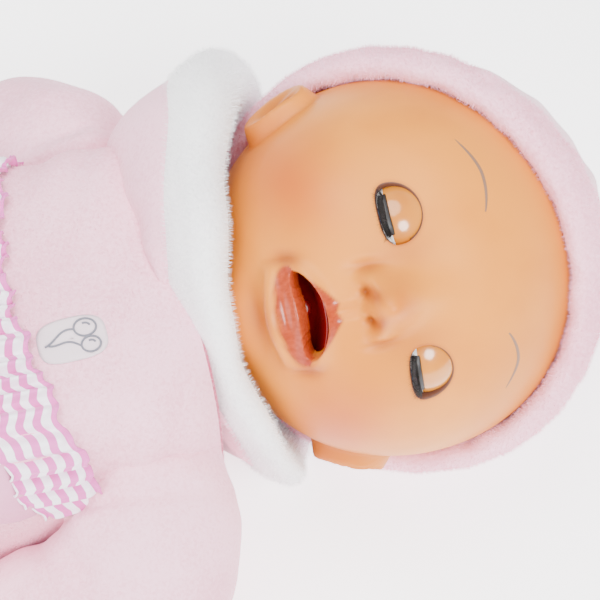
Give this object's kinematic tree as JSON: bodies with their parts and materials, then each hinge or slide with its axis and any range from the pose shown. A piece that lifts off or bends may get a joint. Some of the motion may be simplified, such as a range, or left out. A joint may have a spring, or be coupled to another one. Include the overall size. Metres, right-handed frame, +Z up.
{
  "type": "interactive baby doll",
  "caption": "Soft-bodied baby doll lying on its back in a fleece hat and hooded jacket, with rolling sleep eyes, an open mouth with a press sensor, and jointed head, arms and legs.",
  "frame": {"origin": "centre of the footprint on the surface the doll lies on", "axes": "+X towards the crown of the head, +Z up out of the chest, +Y towards the doll's own right side"},
  "size_m": [0.456, 0.2124, 0.1278],
  "materials": {
    "skin_vinyl": "soft satin vinyl",
    "lid_vinyl": "gloss",
    "mouth_red": "satin",
    "lash_black": "fine bristle",
    "pink_fleece": "short pile fleece",
    "white_fleece": "long pile fleece",
    "stripe_cotton": "woven stripe",
    "pink_cotton": "woven",
    "filling": "cotton skin over filling",
    "case_plastic": "fine matt moulding",
    "inner_plastic": "moulded",
    "switch_black": "moulded",
    "steel": "bright zinc",
    "battery_skin": "gloss sleeve",
    "board_green": "solder mask",
    "paper_cone": "pressed paper",
    "wire_skin": "flexible sleeve"
  },
  "bodies": {
    "torso": {"torso_body": "filling", "neck_socket": "inner_plastic", "neck_tie": "inner_plastic", "tummy_switch_body": "inner_plastic", "tummy_spring": "steel", "wire_loom": "wire_skin", "module_back_case": "case_plastic", "module_front_case": "case_plastic", "case_screws": "steel", "batteries": "battery_skin", "battery_springs": "steel", "battery_contacts": "steel", "circuit_board": "board_green", "board_chips": "switch_black", "speaker": "switch_black", "speaker_cone": "paper_cone", "jacket_body": "pink_fleece", "collar_lining": "white_fleece", "collar_shell": "pink_fleece", "chest_ruffle": "stripe_cotton", "waist_band": "pink_cotton", "chest_motif": "white_fleece"},
    "head": {"head_shell": "skin_vinyl", "neck_plug": "inner_plastic", "mouth_cup": "mouth_red", "mouth_switch_body": "switch_black", "mouth_spring": "steel", "left_eye_pin": "steel", "left_eye_cup": "inner_plastic", "right_eye_pin": "steel", "right_eye_cup": "inner_plastic", "hat_brim": "pink_fleece", "hat_crown": "pink_fleece"},
    "mouth_button": {"mouth_plunger": "mouth_red"},
    "eye_left": {"left_eyeball": "lid_vinyl", "left_eyelash": "lash_black", "left_eye_weight": "steel"},
    "eye_right": {"right_eyeball": "lid_vinyl", "right_eyelash": "lash_black", "right_eye_weight": "steel"},
    "tummy_button": {"tummy_button": "inner_plastic"},
    "power_switch": {"power_switch_knob": "switch_black"},
    "battery_door": {"battery_door": "case_plastic", "door_screw": "steel"},
    "arm_left": {"left_sleeve": "pink_fleece", "left_cuff": "white_fleece", "left_upper_arm": "filling", "left_forearm_and_hand": "skin_vinyl"},
    "leg_left": {"left_trouser_leg": "pink_fleece", "left_thigh": "filling", "left_lower_leg_and_foot": "skin_vinyl", "left_bootee": "pink_fleece"},
    "arm_right": {"right_sleeve": "pink_fleece", "right_cuff": "white_fleece", "right_upper_arm": "filling", "right_forearm_and_hand": "skin_vinyl"},
    "leg_right": {"right_trouser_leg": "pink_fleece", "right_thigh": "filling", "right_lower_leg_and_foot": "skin_vinyl", "right_bootee": "pink_fleece"}
  },
  "joints": [
    {"name": "head_turn", "type": "hinge", "parent": "torso", "child": "head", "pos_m": [0.1, 0, 0.06027], "axis": [1, 0, 0], "range_deg": [-110, 35]},
    {"name": "mouth_sensor", "type": "slide", "parent": "head", "child": "mouth_button", "axis": [0, 0.6157, -0.788], "range_m": [0, 0.002], "stiffness_N_per_m": 150, "springref_m": -0.001, "deforming": ["mouth_spring"]},
    {"name": "tummy_press", "type": "slide", "parent": "torso", "child": "tummy_button", "axis": [0, 0, -1], "range_m": [0, 0.002], "stiffness_N_per_m": 300, "springref_m": -0.001, "deforming": ["tummy_spring"]},
    {"name": "power_slide", "type": "slide", "parent": "torso", "child": "power_switch", "axis": [0, 1, 0], "range_m": [0, 0.006]},
    {"name": "door_hinge", "type": "hinge", "parent": "torso", "child": "battery_door", "pos_m": [0.001, 0, 0.0042], "axis": [0, 1, 0], "range_deg": [0, 80]},
    {"name": "eye_left_roll", "type": "hinge", "parent": "head", "child": "eye_left", "pos_m": [0.158, -0.04621, 0.08693], "axis": [-0.038, 0.4608, 0.8867], "range_deg": [0, 38]},
    {"name": "shoulder_left", "type": "hinge", "parent": "torso", "child": "arm_left", "pos_m": [0.05851, -0.0822, 0.042], "axis": [0, 1, 0], "range_deg": [0, 120]},
    {"name": "hip_left", "type": "hinge", "parent": "torso", "child": "leg_left", "pos_m": [-0.04999, -0.03, 0.027], "axis": [0, 1, 0], "range_deg": [0, 90]},
    {"name": "eye_right_roll", "type": "hinge", "parent": "head", "child": "eye_right", "pos_m": [0.158, -0.01469, 0.11155], "axis": [0.038, 0.9717, 0.2329], "range_deg": [0, 38]},
    {"name": "shoulder_right", "type": "hinge", "parent": "torso", "child": "arm_right", "pos_m": [0.05851, 0.0822, 0.042], "axis": [0, 1, 0], "range_deg": [0, 120]},
    {"name": "hip_right", "type": "hinge", "parent": "torso", "child": "leg_right", "pos_m": [-0.04999, 0.03, 0.027], "axis": [0, 1, 0], "range_deg": [0, 90]}
  ]
}
